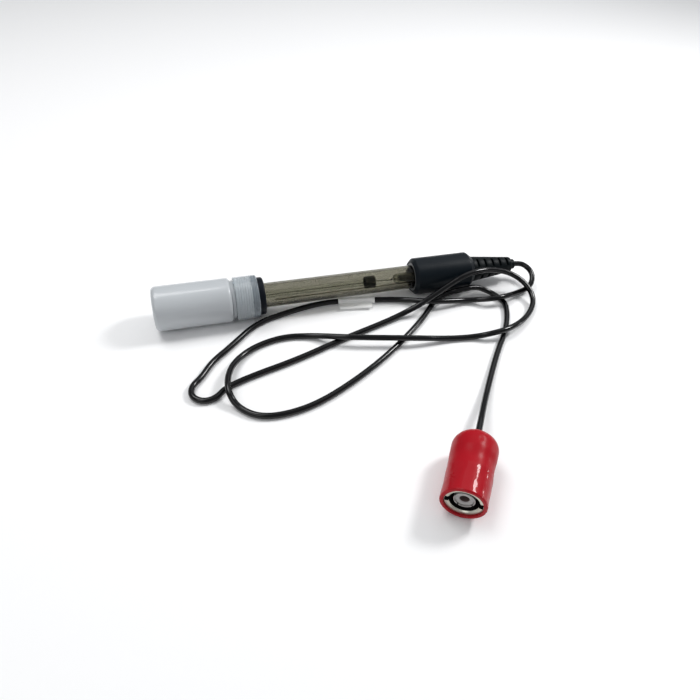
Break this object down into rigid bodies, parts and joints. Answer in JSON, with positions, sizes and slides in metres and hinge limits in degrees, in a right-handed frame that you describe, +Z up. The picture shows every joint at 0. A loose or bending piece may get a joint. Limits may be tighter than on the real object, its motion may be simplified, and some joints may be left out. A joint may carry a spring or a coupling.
{
  "type": "redox electrode",
  "caption": "Round laboratory electrode with a tinted shaft, its tip in a screw-collar storage bottle, and a coiled cable that ends in a bayonet plug under a soft boot.",
  "frame": {"origin": "middle of the electrode's box without the cable and plug, on the surface it lies on", "axes": "+X from the bottle towards the cable end along the electrode, +Z up; the electrode lies at rest on the bottle's shoulder and the cap's rear edge, so its axis drops towards the cap by under a degree"},
  "size_m": [0.1964, 0.1467, 0.0215],
  "materials": {
    "body_tube": "clear smoke-tinted polymer, glossy",
    "tip_plug": "satin",
    "glass_stem": "clear glass",
    "platinum_tip": "polished metal",
    "platinum_lead": "drawn wire",
    "stem_sleeve": "matt rubber",
    "solder_joint": "bright solder",
    "signal_wire": "tinned wire",
    "reference_wire": "silver wire with a dull coated end",
    "reference_junction": "porous ceramic",
    "core_sleeve": "clear shrink sleeve",
    "cable_core": "black insulation",
    "potting": "black resin",
    "cap": "satin moulded",
    "strain_relief": "satin rubber",
    "cable": "glossy black sheath",
    "cable_label": "white film label",
    "plug_body": "nickel plate",
    "outer_contact": "nickel-plated spring metal",
    "insulator": "white insert",
    "centre_pin": "gilt",
    "gasket": "soft ring",
    "wave_spring": "spring steel",
    "crimp_ferrule": "crimped sleeve",
    "bottle": "frosted translucent",
    "seal_ring": "satin rubber",
    "bottle_collar": "translucent moulded",
    "thrust_washer": "stamped",
    "coupling_nut": "satin nickel plate",
    "boot": "glossy dipped vinyl"
  },
  "bodies": {
    "electrode": {"body_tube": "body_tube", "tip_plug": "tip_plug", "glass_stem": "glass_stem", "platinum_tip": "platinum_tip", "platinum_lead": "platinum_lead", "stem_sleeve": "stem_sleeve", "solder_joint": "solder_joint", "signal_wire": "signal_wire", "reference_wire": "reference_wire", "reference_junction": "reference_junction", "core_sleeve": "core_sleeve", "cable_core": "cable_core", "potting": "potting", "cap": "cap", "strain_relief": "strain_relief", "cable": "cable", "cable_label": "cable_label", "plug_body": "plug_body", "outer_contact": "outer_contact", "insulator": "insulator", "centre_pin": "centre_pin", "gasket": "gasket", "wave_spring": "wave_spring", "crimp_ferrule": "crimp_ferrule"},
    "bottle": {"bottle": "bottle"},
    "seal": {"seal_ring": "seal_ring"},
    "collar": {"bottle_collar": "bottle_collar"},
    "washer": {"thrust_washer": "thrust_washer"},
    "nut": {"coupling_nut": "coupling_nut", "boot": "boot"}
  },
  "joints": [
    {"name": "bottle_slide", "type": "slide", "parent": "electrode", "child": "bottle", "axis": [-0.9999, 0, 0.0105], "range_m": [0, 0.06]},
    {"name": "collar_travel", "type": "slide", "parent": "bottle", "child": "seal", "axis": [0.9999, 0, -0.0105], "range_m": [0, 0.0026]},
    {"name": "collar_turn", "type": "hinge", "parent": "seal", "child": "collar", "pos_m": [-0.04636, 0, 0.01047], "axis": [0.9999, 0, -0.0105], "range_deg": [0, 450]},
    {"name": "nut_travel", "type": "slide", "parent": "electrode", "child": "washer", "axis": [-0.5476, -0.8368, 0], "range_m": [0, 0.0012], "stiffness_N_per_m": 1500, "springref_m": -0.0005, "deforming": ["wave_spring"]},
    {"name": "nut_turn", "type": "hinge", "parent": "washer", "child": "nut", "pos_m": [0.01238, -0.12471, 0.00905], "axis": [0.5476, 0.8368, 0], "continuous": true}
  ],
  "couplings": [
    {"joint": "collar_travel", "follows": "collar_turn", "m_per_rad": 0.00031831}
  ]
}
